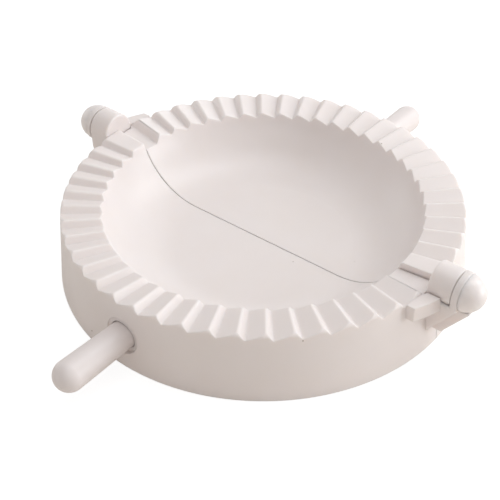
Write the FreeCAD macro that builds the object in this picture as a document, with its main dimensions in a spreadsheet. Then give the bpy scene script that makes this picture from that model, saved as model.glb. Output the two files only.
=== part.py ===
import FreeCAD, Part
import math
import os
import re
import Sketcher

# Folding press for filled pastries: two half rounds with a saw-toothed rim, joined by a hinge
# at each end of the seam, and a pushed-in handle on each half.
# X runs along the hinge, the front half lies at -Y, Z is up, and z = 0 is the table.
# The rear half is the same moulding as the front half, turned half a turn about Z, and so are
# its pin and its handle. The front half has its arm and eye at +X and its barrel at -X.

# Driving sizes in millimetres, angles in degrees
sizes = {
    # rim and skirt
    "rimRadius": 73.9,
    "rimHeight": 27.5,
    "rimRound": 1.4,
    "skirtDraft": 2.6,
    "baseRound": 0.6,
    "wall": 2.0,
    # bowl
    "mouthRadius": 59.6,
    "mouthRound": 0.45,
    "mouthArcShare": 1.45,
    "crestDrop": 1.2,
    "floorRadius": 34.0,
    "floorHeight": 7.2,
    # seam between the halves
    "seamGap": 0.4,
    "seamWall": 1.8,
    # saw teeth
    "toothCount": 25,
    "toothDepth": 2.6,
    "innerToothDepth": 2.1,
    "steepAngle": 1.66,
    "crestRound": 1.1,
    "rootRound": 0.5,
    "crestFlat": 0.03,
    "nestGap": 0.8,
    # hinge barrel
    "barrelRadius": 7.0,
    "barrelLength": 8.6,
    "barrelInset": 0.3,
    "barrelRound": 0.6,
    "boreClearance": 0.05,
    "boreDepth": 6.0,
    "swingClearance": 0.35,
    # hinge arm, its eye and its ribs
    "eyeGap": 0.3,
    "eyeThickness": 2.4,
    "eyeRound": 0.4,
    "armFoot": 9.3,
    "armTip": 22.2,
    "shelfTop": 26.0,
    "shelfBottom": 20.3,
    "shelfEnd": 17.0,
    "shelfProud": 3.5,
    "shelfBend": 12.1,
    "shelfBendReach": 1.4,
    "shelfReach": 5.7,
    "ribWidth": 3.5,
    "ribFoot": 8.2,
    "ribDrop": 3.0,
    "ribOverhang": 3.5,
    "ribDropShare": 0.25,
    "domeDropShare": 0.125,
    # hinge pin
    "pinRadius": 3.2,
    "pinEndGap": 0.4,
    "pinChamfer": 0.5,
    "domeRadius": 6.7,
    "domeClearance": 0.15,
    # handle and its socket in the skirt
    "handleHeight": 12.7,
    "handleTurn": 1.1,
    "handleReach": 104.3,
    "handleTipRadius": 5.6,
    "handleRootRadius": 5.1,
    "landRadius": 6.8,
    "landDepth": 0.8,
    "rootGap": 0.3,
    "seatDepth": 0.9,
    "spigotRadius": 3.6,
    "spigotLength": 7.5,
    "spigotChamfer": 0.5,
    "bossRadius": 7.4,
    "bossLength": 9.6,
    # how far a cutting shape runs past what it cuts
    "overrun": 1.0,
    "mouthOverrun": 1.2,
}

doc = FreeCAD.newDocument("press")
sheet = doc.addObject("Spreadsheet::Sheet", "Sizes")
for row, (alias, number) in enumerate(sizes.items(), start=1):
    sheet.set(f"A{row}", alias)
    sheet.set(f"B{row}", str(number))
    sheet.setAlias(f"B{row}", alias)
doc.recompute()

# Sizes worked out from the driving ones, written as formulas in their names
pitch = "(180 / toothCount)"
mouthHeight = "(rimHeight - crestDrop)"
rootHeight = "(rimHeight - toothDepth)"
webUnder = f"({rootHeight} - crestDrop - wall / 2)"
hingeHeight = "(rimHeight - toothDepth / 2 + nestGap / 2)"
bowlRise = f"({mouthHeight} - floorHeight)"
bowlCurve = f"(((mouthRadius - floorRadius)^2 + {bowlRise}^2) / (2 * {bowlRise}))"
crestSlope = "(crestDrop / (rimRadius - mouthRadius))"
barrelEnd = "(rimRadius + barrelLength)"
eyeStart = "(rimRadius + barrelLength + eyeGap)"
eyeEnd = "(rimRadius + barrelLength + eyeGap + eyeThickness)"
skirtAtHandle = "(rimRadius + skirtDraft * (1 - handleHeight / rimHeight))"
handleSeat = f"({skirtAtHandle} - landDepth - seatDepth)"


def skirt_radius(height):
    # outer face of the skirt, which flares towards the table
    return f"(rimRadius + skirtDraft * (1 - ({height}) / rimHeight))"


def bowl_radius(height, grow="0"):
    # wall of the bowl at a height, or a face that lies outside it by grow
    return f"(floorRadius + sqrt(({bowlCurve} + {grow})^2 - (floorHeight + {bowlCurve} - ({height}))^2))"


def named(formula):
    # puts the sheet's name before each size in a formula
    return re.sub(r"\b([A-Za-z]\w*)\b(?!\s*\()", r"Sizes.\1", formula)


def value(formula):
    return float(sheet.evalExpression(formula))


def minus(formula):
    return f"(0 - ({formula}))"


def arc_between(start, end, radius, turn):
    # short arc of a given radius from start to end: turn is 1 to the left, -1 to the right
    chord = end - start
    sideways = FreeCAD.Vector(-chord.y, chord.x, 0).normalize() * turn
    centre = start + chord * 0.5 + sideways * math.sqrt(radius**2 - chord.Length**2 / 4)
    first, last = (start, end) if turn > 0 else (end, start)
    angles = [math.atan2(point.y - centre.y, point.x - centre.x) for point in (first, last)]
    return Part.ArcOfCircle(Part.Circle(centre, FreeCAD.Vector(0, 0, 1), radius), *angles)


def outline(body, name, plane, points, shift=None, turn=None):
    # closed sketch on one of the body's own planes. A point is (across, up), and the side that
    # arrives at it is straight, or with (across, up, radius, turn) an arc of that radius.
    sketch = body.newObject("Sketcher::SketchObject", name)
    support = next(item for item in body.Origin.OriginFeatures if item.Role == plane)
    sketch.AttachmentSupport = [(support, "")]
    sketch.MapMode = "FlatFace"
    for axis, distance in (shift or {}).items():
        sketch.setExpression(f".AttachmentOffset.Base.{axis}", named(distance))
    if turn:
        axis, angle = turn
        sketch.AttachmentOffset = FreeCAD.Placement(FreeCAD.Vector(), FreeCAD.Rotation(axis, 1))
        sketch.setExpression(".AttachmentOffset.Rotation.Angle", named(angle))
    corners = [FreeCAD.Vector(value(point[0]), value(point[1]), 0) for point in points]
    ends = []
    for number, point in enumerate(points):
        start, end = corners[number - 1], corners[number]
        if len(point) == 2:
            side = sketch.addGeometry(Part.LineSegment(start, end))
            ends.append((side, 1, 2))
            continue
        side = sketch.addGeometry(arc_between(start, end, value(point[2]), point[3]))
        ends.append((side, 1, 2) if point[3] > 0 else (side, 2, 1))
        constraint = sketch.addConstraint(Sketcher.Constraint("Radius", side, value(point[2])))
        sketch.setExpression(f"Constraints[{constraint}]", named(point[2]))
    for number, point in enumerate(points):
        side, _, tip = ends[number]
        following, tail, _ = ends[(number + 1) % len(points)]
        sketch.addConstraint(Sketcher.Constraint("Coincident", side, tip, following, tail))
        for kind, formula, place in zip(("DistanceX", "DistanceY"), point, corners[number]):
            constraint = sketch.addConstraint(Sketcher.Constraint(kind, -1, 1, side, tip, place))
            sketch.setExpression(f"Constraints[{constraint}]", named(formula))
    return sketch


def extrude(body, kind, name, sketch, length=None, backwards=False):
    # pad or pocket, of a length or right through
    feature = body.newObject(f"PartDesign::{kind}", name)
    feature.Profile = sketch
    if length:
        feature.setExpression("Length", named(length))
    else:
        feature.Type = "ThroughAll"
    feature.Reversed = backwards
    return feature


def turned(body, kind, name, sketch, axis, angle="360", backwards=False, midplane=False):
    # revolution or groove about one of the sketch's own axes
    feature = body.newObject(f"PartDesign::{kind}", name)
    feature.Profile = sketch
    feature.ReferenceAxis = (sketch, [axis])
    feature.setExpression("Angle", named(angle))
    feature.Reversed = backwards
    feature.Midplane = midplane
    return feature


def crest_section(foot):
    # section of the rim's upper part from the bowl's wall over the crest to the skirt, down to
    # the height foot
    low = f"({mouthHeight} - mouthRound)"
    shoulder = f"({mouthHeight} + {crestSlope} * mouthRound)"
    brow = f"(rimHeight - {crestSlope} * rimRound)"
    corner = "(mouthRound * mouthArcShare)"
    return [
        (bowl_radius(low), low, bowlCurve, 1),
        ("mouthRadius + mouthRound", shoulder, corner, -1),
        ("rimRadius - rimRound", brow),
        (skirt_radius("rimHeight - rimRound"), "rimHeight - rimRound", "rimRound", -1),
        (skirt_radius(foot), foot),
    ]


def shell(body):
    # wall of half the bowl, the rim's web and the skirt, open underneath
    section = [
        ("0", "floorHeight - wall"),
        ("0", "floorHeight"),
        ("floorRadius", "floorHeight"),
        *crest_section("baseRound"),
        ("rimRadius + skirtDraft - baseRound", "0", "baseRound", -1),
        ("rimRadius + skirtDraft - wall", "0"),
        (skirt_radius(webUnder) + " - wall", webUnder),
        (bowl_radius(webUnder, "wall"), webUnder),
        ("floorRadius", "floorHeight - wall", f"{bowlCurve} + wall", -1),
    ]
    sketch = outline(body, "wallSection", "XZ_Plane", section)
    turned(body, "Revolution", "halfShell", sketch, "V_Axis", "180", backwards=True)
    reach = "(rimRadius + skirtDraft + overrun)"
    strip = [
        (minus(reach), minus("seamGap / 2")),
        (reach, minus("seamGap / 2")),
        (reach, "overrun"),
        (minus(reach), "overrun"),
    ]
    sketch = outline(body, "seamStrip", "XY_Plane", strip)
    extrude(body, "Pocket", "seamCut", sketch, backwards=True)


def seam_wall(body):
    # upright wall that closes the half along the seam, down to the table
    top = f"({webUnder} + wall / 2)"
    foot = "(rimRadius + skirtDraft - wall / 2)"
    shoulder = f"({skirt_radius(top)} - wall / 2)"
    flank = bowl_radius(top, "wall / 2")
    belly = f"({bowlCurve} + wall / 2)"
    section = [
        (minus(foot), "0"),
        (foot, "0"),
        (shoulder, top),
        (flank, top),
        ("floorRadius", "floorHeight - wall / 2", belly, -1),
        (minus("floorRadius"), "floorHeight - wall / 2"),
        (minus(flank), top, belly, -1),
        (minus(shoulder), top),
    ]
    sketch = outline(body, "seamSection", "XZ_Plane", section, {"z": "seamGap / 2"})
    extrude(body, "Pad", "seamWeb", sketch, "seamWall")


def barrel_foot(body):
    # block below the barrel that carries it on the skirt, with a sloping underside
    inside = "(rimRadius - wall / 2)"
    section = [
        (minus(inside), "armFoot"),
        (minus(inside), hingeHeight),
        (minus(barrelEnd) + " + barrelRound", hingeHeight),
        (minus(barrelEnd) + " + barrelRound", f"{hingeHeight} - barrelRadius"),
        (minus(skirt_radius("armFoot")), "armFoot"),
    ]
    sketch = outline(body, "barrelFootSection", "XZ_Plane", section, {"z": "seamGap / 2"})
    extrude(body, "Pad", "barrelFoot", sketch, "barrelRadius - seamGap / 2")


def arm(body):
    # gusset that carries the eye, its shelf along the skirt and the rib under it
    inside = "(rimRadius - wall / 2)"
    section = [
        (inside, "armFoot"),
        (skirt_radius("armFoot"), "armFoot"),
        (eyeEnd, "armTip"),
        (eyeEnd, hingeHeight),
        (inside, hingeHeight),
    ]
    sketch = outline(body, "gussetSection", "XZ_Plane", section, {"z": "seamGap / 2"})
    extrude(body, "Pad", "gusset", sketch, "barrelRadius - seamGap / 2")
    skirtAtEnd = "sqrt(rimRadius^2 - shelfEnd^2)"
    skirtAtBend = "sqrt(rimRadius^2 - shelfBend^2)"
    plan = [
        (f"{skirtAtEnd} - wall / 2", minus("shelfEnd")),
        (f"{skirtAtEnd} + shelfProud", minus("shelfEnd")),
        (f"{skirtAtBend} + shelfProud + shelfBendReach", minus("shelfBend")),
        ("rimRadius + shelfReach", minus("barrelRadius")),
        ("rimRadius + shelfReach", minus("barrelRadius - wall / 2")),
        (inside, minus("barrelRadius - wall / 2")),
    ]
    sketch = outline(body, "shelfPlan", "XY_Plane", plan, {"z": "shelfBottom"})
    extrude(body, "Pad", "shelf", sketch, "shelfTop - shelfBottom")
    slope = f"(({eyeEnd} - {skirt_radius('armFoot')}) / (armTip - armFoot))"
    tip = f"({eyeEnd} + ribOverhang)"
    tipHeight = f"({hingeHeight} - domeRadius + domeRadius * domeDropShare)"
    section = [
        (inside, "ribFoot"),
        (f"{tip} - {slope} * ({tipHeight} - ribFoot)", "ribFoot"),
        (tip, tipHeight),
        (f"{tip} - ribDrop * ribDropShare", f"{tipHeight} + ribDrop / 2"),
        (eyeEnd, f"armTip + wall / 2"),
        (inside, "armFoot + wall / 2"),
    ]
    sketch = outline(body, "ribSection", "XZ_Plane", section, {"z": "seamGap / 2"})
    extrude(body, "Pad", "armRib", sketch, "ribWidth - seamGap / 2")


def tooth_lines(distance):
    # crest height, tooth depth, steep run and gentle run of the saw at a distance from the centre
    inward = f"((rimRadius - ({distance})) / (rimRadius - mouthRadius))"
    crest = f"(rimHeight - crestDrop * {inward} + crestFlat)"
    depth = f"(toothDepth - (toothDepth - innerToothDepth) * {inward})"
    wide = f"(({distance}) * tan({pitch} / 2 + steepAngle / 2))"
    narrow = f"(({distance}) * tan({pitch} / 2 - steepAngle / 2))"
    return crest, depth, f"({wide} - {narrow})", f"(2 * {narrow})", wide, narrow


def rounding(depth, steep, gentle, radius):
    # offsets from a sharp corner of the saw to its round: the round's summit, and where the
    # round meets the steep and the gentle side
    steepSide = f"sqrt({depth}^2 + {steep}^2)"
    gentleSide = f"sqrt({depth}^2 + {gentle}^2)"
    sinSteep, cosSteep = f"({depth} / {steepSide})", f"({steep} / {steepSide})"
    sinGentle, cosGentle = f"({depth} / {gentleSide})", f"({gentle} / {gentleSide})"
    sine = f"({sinSteep} * {cosGentle} + {cosSteep} * {sinGentle})"
    across = f"({radius} * ({cosGentle} - {cosSteep}) / {sine})"
    down = f"({radius} * ({sinSteep} + {sinGentle}) / {sine})"
    summit = (across, f"({down} - {radius})")
    onSteep = (f"({radius} * {sinSteep} - {across})", f"({down} - {radius} * {cosSteep})")
    onGentle = (f"({radius} * {sinGentle} + {across})", f"({down} - {radius} * {cosGentle})")
    return summit, onSteep, onGentle


def gullet(body):
    # hollow between two teeth, a loft along the rim beside the ridge, repeated round the half
    sketches = []
    planes = {"Outer": "(rimRadius + swingClearance)", "Inner": "(mouthRadius - mouthOverrun)"}
    first = f"(0 - {pitch} * (toothCount - 3) / 2)"
    for name, distance in planes.items():
        crest, depth, steep, gentle, wide, narrow = tooth_lines(distance)
        high = f"(crestRound * ({distance}) / rimRadius)"
        low = f"(rootRound * ({distance}) / rimRadius)"
        summit, crestSteep, crestGentle = rounding(depth, steep, gentle, high)
        _, rootSteep, rootGentle = rounding(depth, steep, gentle, low)
        top = f"({crest} + {summit[1]})"
        root = f"({top} - {depth})"
        points = [
            (minus(f"{wide} + {summit[0]}"), crest),
            (f"{crestSteep[0]} - {wide}", f"{top} - {crestSteep[1]}", high, -1),
            (f"0 - {narrow} - {rootSteep[0]}", f"{root} + {rootSteep[1]}"),
            (f"{rootGentle[0]} - {narrow}", f"{root} + {rootGentle[1]}", low, 1),
            (f"{narrow} - {crestGentle[0]}", f"{top} - {crestGentle[1]}"),
            (f"{narrow} - {summit[0]}", crest, high, -1),
            ("0", f"{crest} + overrun"),
        ]
        shift = {"x": f"{distance} * sin({first})", "z": f"{distance} * cos({first})"}
        turn = (FreeCAD.Vector(0, 1, 0), first)
        sketches.append(outline(body, f"gullet{name}", "XZ_Plane", points, shift, turn))
    loft = body.newObject("PartDesign::SubtractiveLoft", "gullet")
    loft.Profile = sketches[0]
    loft.Sections = [(sketches[1], [""])]
    loft.Ruled = True
    upright = next(item for item in body.Origin.OriginFeatures if item.Role == "Z_Axis")
    pattern = body.newObject("PartDesign::PolarPattern", "gullets")
    pattern.Originals = [loft]
    pattern.Axis = (upright, [""])
    pattern.setExpression("Angle", named(f"{pitch} * (toothCount - 3)"))
    pattern.setExpression("Occurrences", named("toothCount - 2"))
    body.Tip = pattern


def recess(body):
    # seat beside the arm, even with the gullets, which takes the other half's ridge when shut
    sketches = []
    planes = {"Outer": "(rimRadius + swingClearance)", "Inner": "(mouthRadius - mouthOverrun)"}
    for name, distance in planes.items():
        crest, depth, steep, gentle, _, _ = tooth_lines(distance)
        high = f"(crestRound * ({distance}) / rimRadius)"
        low = f"(rootRound * ({distance}) / rimRadius)"
        summit, onSteep, _ = rounding(depth, steep, gentle, high)
        top = f"({crest} + {summit[1]})"
        floor = f"({rootHeight} - {crestSlope} * (rimRadius - ({distance})))"
        brink = f"(({distance}) * tan({pitch} + steepAngle / 2))"
        corner = f"({brink} - ({top} - {floor}) * {steep} / {depth})"
        side = f"sqrt({depth}^2 + {steep}^2)"
        tangent = f"({low} * {depth} / ({side} + {steep}))"
        points = [
            (minus(f"({brink} + {summit[0]})"), crest),
            (f"{onSteep[0]} - {brink}", f"{top} - {onSteep[1]}", high, -1),
            (f"0 - {corner} - {tangent} * {steep} / {side}",
             f"{floor} + {tangent} * {depth} / {side}"),
            (f"{tangent} - {corner}", floor, low, 1),
            ("overrun", floor),
            ("overrun", f"{crest} + overrun"),
        ]
        sketches.append(outline(body, f"recess{name}", "YZ_Plane", points, {"z": distance}))
    loft = body.newObject("PartDesign::SubtractiveLoft", "recess")
    loft.Profile = sketches[0]
    loft.Sections = [(sketches[1], [""])]
    loft.Ruled = True


def hinge_round(body, kind, name, points):
    # solid or hollow turned about the hinge line: points are (along X, out from the line)
    sketch = outline(body, f"{name}Section", "XZ_Plane", points, {"y": hingeHeight})
    turned(body, kind, name, sketch, "H_Axis")


def barrel_relief(body):
    # hollow about the hinge line that the other half's barrel turns in
    start = "(rimRadius - barrelInset - swingClearance)"
    hinge_round(body, "Groove", "barrelRelief", [
        (start, "0"),
        (start, "barrelRadius + swingClearance"),
        (eyeStart, "barrelRadius + swingClearance"),
        (eyeStart, "0"),
    ])


def eye(body):
    # ring at the end of the arm that the pin is pressed into
    hinge_round(body, "Revolution", "eye", [
        (eyeStart, "0"),
        (eyeStart, "barrelRadius"),
        (f"{eyeEnd} - eyeRound", "barrelRadius"),
        (eyeEnd, "barrelRadius - eyeRound", "eyeRound", -1),
        (eyeEnd, "0"),
    ])
    hinge_round(body, "Groove", "eyeBore", [
        (f"{eyeStart} - overrun", "0"),
        (f"{eyeStart} - overrun", "pinRadius"),
        (f"{eyeEnd} + overrun", "pinRadius"),
        (f"{eyeEnd} + overrun", "0"),
    ])
    hinge_round(body, "Groove", "domeRelief", [
        (eyeEnd, "0"),
        (eyeEnd, "domeRadius + domeClearance"),
        (f"{eyeEnd} + domeRadius + domeClearance", "0", "domeRadius + domeClearance", -1),
    ])


def barrel(body):
    # round barrel outside the rim with a blind bore, in which the other half's pin turns
    start = "(rimRadius - barrelInset)"
    hinge_round(body, "Revolution", "barrel", [
        (minus(barrelEnd), "0"),
        (minus(barrelEnd), "barrelRadius - barrelRound"),
        (minus(barrelEnd) + " + barrelRound", "barrelRadius", "barrelRound", -1),
        (minus(f"({start} + barrelRound)"), "barrelRadius"),
        (minus(start), "barrelRadius - barrelRound", "barrelRound", -1),
        (minus(start), "0"),
    ])
    hinge_round(body, "Groove", "barrelBore", [
        (minus(barrelEnd) + " - overrun", "0"),
        (minus(barrelEnd) + " - overrun", "pinRadius + boreClearance"),
        (minus(barrelEnd) + " + boreDepth", "pinRadius + boreClearance"),
        (minus(barrelEnd) + " + boreDepth", "0"),
    ])


def handle_round(body, kind, name, points):
    # solid or hollow turned about the handle's line: points are (out from the line, along Y)
    sketch = outline(body, f"{name}Section", "XY_Plane", points, {"z": "handleHeight"},
                     (FreeCAD.Vector(0, 0, 1), "0 - handleTurn"))
    turned(body, kind, name, sketch, "V_Axis")


def handle_socket(body):
    # boss behind the skirt, sunk land round the handle's root, seat and bore for its spigot
    land = f"({skirtAtHandle} - landDepth)"
    bossEnd = f"({handleSeat} - bossLength)"
    handle_round(body, "Revolution", "handleBoss", [
        ("0", minus(f"({land} - landDepth / 2)")),
        ("bossRadius", minus(f"({land} - landDepth / 2)")),
        ("bossRadius", minus(bossEnd)),
        ("0", minus(bossEnd)),
    ])
    handle_round(body, "Groove", "handleSocket", [
        ("0", minus(f"({skirtAtHandle} + overrun)")),
        ("landRadius", minus(f"({skirtAtHandle} + overrun)")),
        ("landRadius", minus(land)),
        ("handleRootRadius + rootGap", minus(land)),
        ("handleRootRadius + rootGap", minus(handleSeat)),
        ("spigotRadius", minus(handleSeat)),
        ("spigotRadius", minus(f"({bossEnd} - overrun)")),
        ("0", minus(f"({bossEnd} - overrun)")),
    ])


def press_half(body):
    shell(body)
    seam_wall(body)
    barrel_foot(body)
    arm(body)
    gullet(body)
    recess(body)
    barrel_relief(body)
    eye(body)
    barrel(body)
    handle_socket(body)


def hinge_pin(body):
    # shank with a domed head, pressed into the eye and running in the other half's barrel
    tip = f"({barrelEnd} - boreDepth + pinEndGap)"
    hinge_round(body, "Revolution", "pin", [
        (tip, "0"),
        (tip, "pinRadius - pinChamfer"),
        (f"{tip} + pinChamfer", "pinRadius"),
        (eyeEnd, "pinRadius"),
        (eyeEnd, "domeRadius"),
        (f"{eyeEnd} + domeRadius", "0", "domeRadius", -1),
    ])


def handle(body):
    # slightly swelling grip with a round tip, and the spigot that is pushed into the boss
    spigotEnd = f"({handleSeat} - spigotLength)"
    tipCentre = "(handleReach - handleTipRadius)"
    handle_round(body, "Revolution", "handle", [
        ("0", minus("handleReach")),
        ("handleTipRadius", minus(tipCentre), "handleTipRadius", 1),
        ("handleRootRadius", minus(handleSeat)),
        ("spigotRadius", minus(handleSeat)),
        ("spigotRadius", minus(spigotEnd) + " - spigotChamfer"),
        ("spigotRadius - spigotChamfer", minus(spigotEnd)),
        ("0", minus(spigotEnd)),
    ])


pieces = {
    "front_half": (press_half, 0),
    "right_hinge_pin": (hinge_pin, 0),
    "front_handle": (handle, 0),
    "rear_half": (press_half, 180),
    "left_hinge_pin": (hinge_pin, 180),
    "rear_handle": (handle, 180),
}
bodies = []
for label, (make, angle) in pieces.items():
    body = doc.addObject("PartDesign::Body", label)
    body.Label = label
    make(body)
    body.Placement = FreeCAD.Placement(
        FreeCAD.Vector(0, 0, 0), FreeCAD.Rotation(FreeCAD.Vector(0, 0, 1), angle))
    bodies.append(body)
doc.recompute()

for item in doc.Objects:
    if "Invalid" in item.State or "Error" in item.State:
        raise RuntimeError(f"{item.Label} ({item.Name}) failed: {item.State}")
for body in bodies:
    if body.Shape.isNull() or not body.Shape.isValid() or len(body.Shape.Solids) != 1:
        raise RuntimeError(f"{body.Label} is not one valid solid")

os.makedirs("parts", exist_ok=True)
for body in bodies:
    body.Shape.exportStep(f"parts/{body.Label}.step")
    box = body.Shape.BoundBox
    print(f"{body.Label}: {body.Shape.Volume:.0f} mm3, x {box.XMin:.2f} to {box.XMax:.2f},"
          f" y {box.YMin:.2f} to {box.YMax:.2f}, z {box.ZMin:.2f} to {box.ZMax:.2f}")
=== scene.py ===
import math

import bpy
from mathutils import Matrix, Vector

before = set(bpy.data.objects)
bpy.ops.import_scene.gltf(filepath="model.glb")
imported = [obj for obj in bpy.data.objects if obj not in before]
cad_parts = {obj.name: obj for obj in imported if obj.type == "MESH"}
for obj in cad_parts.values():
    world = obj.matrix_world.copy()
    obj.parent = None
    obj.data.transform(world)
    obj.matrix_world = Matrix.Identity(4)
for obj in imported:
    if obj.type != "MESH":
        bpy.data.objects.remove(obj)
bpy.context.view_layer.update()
print("frame loaded,", len(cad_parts), "nodes")

mm = 0.001  # metres
white = (1, 1, 1, 1)


# an empanada press of moulded white plastic, lying open on a white table

def linearColour(hexColour):
    channels = [int(hexColour[i:i + 2], 16) / 255 for i in (0, 2, 4)]
    linear = [c / 12.92 if c <= 0.04045 else ((c + 0.055) / 1.055) ** 2.4 for c in channels]
    return (*linear, 1)


def addNode(tree, kind, settings=None, links=None):
    node = tree.nodes.new(kind)
    for name, value in (settings or {}).items():
        if name in node.inputs:
            node.inputs[name].default_value = value
        else:
            setattr(node, name, value)
    for name, source in (links or {}).items():
        tree.links.new(source, node.inputs[name])
    return node


def newTree(owner):
    owner.use_nodes = True
    owner.node_tree.nodes.clear()
    return owner.node_tree


def mixedColour(tree, factor, first, second):
    # first and second are hex colours, or the output of another node
    mix = addNode(tree, "ShaderNodeMix", {"data_type": "RGBA"})
    sockets = {s.identifier: s for s in mix.inputs}
    tree.links.new(factor, sockets["Factor_Float"])
    for name, colour in (("A_Color", first), ("B_Color", second)):
        if isinstance(colour, str):
            sockets[name].default_value = linearColour(colour)
        else:
            tree.links.new(colour, sockets[name])
    return next(s for s in mix.outputs if s.identifier == "Result_Color")


def cameraChoice(tree, others, camera):
    # one shader for what the camera sees, another for the light that bounces
    seen = addNode(tree, "ShaderNodeLightPath").outputs["Is Camera Ray"]
    choice = addNode(tree, "ShaderNodeMixShader", links={"Fac": seen})
    tree.links.new(others.outputs[0], choice.inputs[1])
    tree.links.new(camera.outputs[0], choice.inputs[2])
    return choice.outputs[0]


def outward(azimuth, elevation):
    # from the middle of the table to a lamp or the camera, 0 at the front and 90 at the right
    a, e = math.radians(azimuth), math.radians(elevation)
    return Vector((math.sin(a) * math.cos(e), -math.cos(a) * math.cos(e), math.sin(e)))


# plastic of the two half mouldings

halfPlastic = {
    "colour": "EDE5E3",             # warm white, as moulded
    "shade": "E9E0DC",              # where the melt cooled last, a touch warmer
    "speck": "A4968A",              # scorched grains of plastic, rare and small
    "roughness": 0.35,
    "ior": 1.49,
    "glow": 0.60,                   # share of the light that goes through the skin
    "glowDepth": 1.8 * mm,          # how far it spreads in the milky plastic
    "glowTint": (1, 0.96, 0.88),    # red goes a little deeper than blue
    "edgeRound": 0.7 * mm,          # edges of the mould are broken, the seam's too
    "edgeSamples": 6,
    "flowSize": 18 * mm,            # slow mottling of the melt front
    "flowDetail": 4,
    "grainSize": 0.35 * mm,         # spark-eroded mould skin, coarser than the real 0.1 mm
    "grainDepth": 0.004 * mm,
    "grainDetail": 3,
    "sinkSize": 14 * mm,            # faint waves where the wall shrank
    "sinkDepth": 0.05 * mm,
    "sinkDetail": 1,
    "speckSpacing": 16 * mm,
    "speckSize": 0.3 * mm,
}

# the pins come from another tool and are a little glossier

pinPlastic = {
    **halfPlastic,
    "colour": "EFE8E6",
    "shade": "EBE3E0",
    "roughness": 0.32,
    "edgeRound": 0.3 * mm,
    "flowSize": 8 * mm,
}

# the handles are denser, rubbed dull by the hand

handlePlastic = {
    **halfPlastic,
    "colour": "E8DFDD",
    "shade": "E3DAD7",
    "roughness": 0.42,
    "glow": 0.12,
    "edgeRound": 0.3 * mm,
    "flowSize": 10 * mm,
}


def mouldedPolypropylene(name, plastic):
    # satin, slightly waxy skin: soft broad highlights, broken edges that catch a thin line of
    # light, gaps that glow instead of going black, faint mottling, now and then a speck
    material = bpy.data.materials.new(name)
    tree = newTree(material)
    place = addNode(tree, "ShaderNodeTexCoord").outputs["Object"]

    def noise(feature):
        return addNode(tree, "ShaderNodeTexNoise",
                       {"Scale": 1 / plastic[feature + "Size"],
                        "Detail": plastic[feature + "Detail"]},
                       {"Vector": place}).outputs[0]

    def bump(feature, normal):
        return addNode(tree, "ShaderNodeBump",
                       {"Distance": plastic[feature + "Depth"], "Strength": 1},
                       {"Height": noise(feature), "Normal": normal}).outputs[0]

    tint = mixedColour(tree, noise("flow"), plastic["colour"], plastic["shade"])
    cells = addNode(tree, "ShaderNodeTexVoronoi", {"Scale": 1 / plastic["speckSpacing"]},
                    {"Vector": place})
    speck = addNode(tree, "ShaderNodeMath", {"operation": "LESS_THAN"})
    tree.links.new(cells.outputs[0], speck.inputs[0])
    speck.inputs[1].default_value = plastic["speckSize"] / plastic["speckSpacing"]
    spotted = mixedColour(tree, speck.outputs[0], tint, plastic["speck"])
    edge = addNode(tree, "ShaderNodeBevel",
                   {"samples": plastic["edgeSamples"], "Radius": plastic["edgeRound"]})
    skin = bump("grain", bump("sink", edge.outputs[0]))
    shader = addNode(tree, "ShaderNodeBsdfPrincipled",
                     {"Roughness": plastic["roughness"], "IOR": plastic["ior"],
                      "Subsurface Weight": plastic["glow"],
                      "Subsurface Radius": plastic["glowTint"],
                      "Subsurface Scale": plastic["glowDepth"]},
                     {"Base Color": spotted, "Normal": skin})
    addNode(tree, "ShaderNodeOutputMaterial", links={"Surface": shader.outputs[0]})
    return material


finishes = {
    "half": mouldedPolypropylene("moulded_polypropylene", halfPlastic),
    "pin": mouldedPolypropylene("glossier_polypropylene", pinPlastic),
    "handle": mouldedPolypropylene("handled_polypropylene", handlePlastic),
}
for name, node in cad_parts.items():
    node.data.materials.clear()
    node.data.materials.append(finishes[name.split("_")[-1]])
print("finishes given")


# floor, world and lamps, set by fitting the shading of the press in the photograph

room = {
    "floorSize": 4.0,               # metres
    "floorColour": "F2ECE5",        # the warm light it throws back on to the skirt
    "floorSeen": "959595",          # what the camera sees of the floor's own shading
    "floorGlow": 0.84,              # and the white added to it: the shadow stays, but faint
    "world": 0.38,
    "worldColour": "FFF9F3",        # light off the walls, warmer than the lamps
    "lampColour": "F6FBFF",
    "lampSize": 0.45,               # metres
    "lampDistance": 0.9,
}

# azimuth, elevation, watts
lamps = {
    "ceiling": (0, 89.9, 0.98),
    "low_rear_right": (120, 12, 2.92),
    "rear_right": (150, 35, 2.05),
    "high_rear_right": (150, 62, 1.67),
    "low_rear": (210, 12, 0.59),
    "rear": (210, 35, 0.23),
    "high_rear_left": (240, 62, 0.38),
    "low_left": (270, 12, 0.75),
    "front_right": (30, 35, 0.77),
    "low_front": (330, 12, 0.30),
}


def paintedBoard():
    # matt and white, near enough shadowless to the camera, as in a catalogue picture
    material = bpy.data.materials.new("painted_board")
    tree = newTree(material)
    board = addNode(tree, "ShaderNodeBsdfDiffuse", {"Color": linearColour(room["floorColour"])})
    faint = addNode(tree, "ShaderNodeBsdfDiffuse", {"Color": linearColour(room["floorSeen"])})
    glow = addNode(tree, "ShaderNodeEmission", {"Color": white, "Strength": room["floorGlow"]})
    both = addNode(tree, "ShaderNodeAddShader")
    tree.links.new(faint.outputs[0], both.inputs[0])
    tree.links.new(glow.outputs[0], both.inputs[1])
    addNode(tree, "ShaderNodeOutputMaterial", links={"Surface": cameraChoice(tree, board, both)})
    return material


def studioWorld():
    # a dim warm fill from the walls, plain white behind the press
    world = bpy.data.worlds.new("studio")
    tree = newTree(world)
    dim = addNode(tree, "ShaderNodeBackground",
                  {"Color": linearColour(room["worldColour"]), "Strength": room["world"]})
    plain = addNode(tree, "ShaderNodeBackground", {"Color": white, "Strength": 1})
    addNode(tree, "ShaderNodeOutputWorld", links={"Surface": cameraChoice(tree, dim, plain)})
    return world


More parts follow.
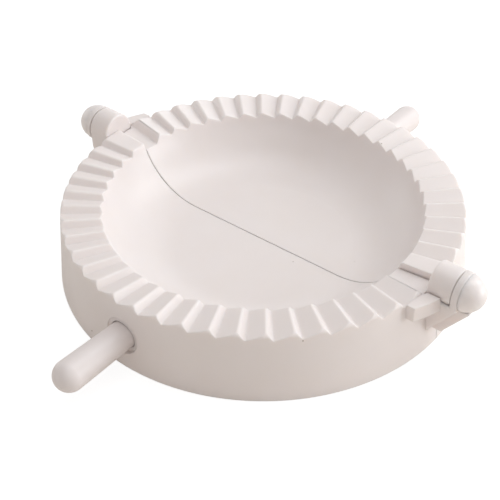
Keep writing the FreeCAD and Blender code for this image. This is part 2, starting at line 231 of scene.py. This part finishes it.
def lamp(name, azimuth, elevation, power):
    data = bpy.data.lights.new(name, "AREA")
    data.energy = power
    data.color = linearColour(room["lampColour"])[:3]
    data.shape = "DISK"
    data.size = room["lampSize"]
    lampObject = bpy.data.objects.new(name, data)
    bpy.context.scene.collection.objects.link(lampObject)
    back = outward(azimuth, elevation)
    lampObject.location = back * room["lampDistance"]
    lampObject.rotation_euler = (-back).to_track_quat("-Z", "Y").to_euler()


bpy.ops.object.select_all(action="DESELECT")
bpy.ops.mesh.primitive_plane_add(size=room["floorSize"], location=(0, 0, 0))
floor = bpy.context.object
floor.name = "floor"
floor.data.materials.append(paintedBoard())
bpy.context.scene.world = studioWorld()
for name, (azimuth, elevation, power) in lamps.items():
    lamp(name, azimuth, elevation, power)
print("floor, world and lamps made")


# camera, worked out from the rim, the base circle and the seam of the press in the photograph

photo = {
    "imageSize": 500,               # pixels
    "focal": 1053.72,               # pixels
    "centreX": 263.23,              # pixels
    "centreY": 254.09,              # pixels
    "distance": 404.66 * mm,
    "azimuth": 37.79,               # degrees
    "elevation": 39.40,
    "roll": 0.12,
    "sensor": 36,                   # mm, as Blender counts it
    "nearest": 10 * mm,
}


def photoCamera():
    back = outward(photo["azimuth"], photo["elevation"])
    roll = math.radians(photo["roll"])
    level = outward(photo["azimuth"] + 90, 0)
    upright = back.cross(level)
    right = level * math.cos(roll) + upright * math.sin(roll)
    up = upright * math.cos(roll) - level * math.sin(roll)
    data = bpy.data.cameras.new("camera")
    data.sensor_width = photo["sensor"]
    data.lens = photo["focal"] * photo["sensor"] / photo["imageSize"]
    data.shift_x = 0.5 - photo["centreX"] / photo["imageSize"]
    data.shift_y = photo["centreY"] / photo["imageSize"] - 0.5
    data.clip_start = photo["nearest"]
    camera = bpy.data.objects.new("camera", data)
    bpy.context.scene.collection.objects.link(camera)
    camera.matrix_world = Matrix.Translation(back * photo["distance"]) @ Matrix(
        (right, up, back)).transposed().to_4x4()
    bpy.context.scene.camera = camera


photoCamera()
bpy.context.scene.view_settings.view_transform = "Standard"
print("camera placed")
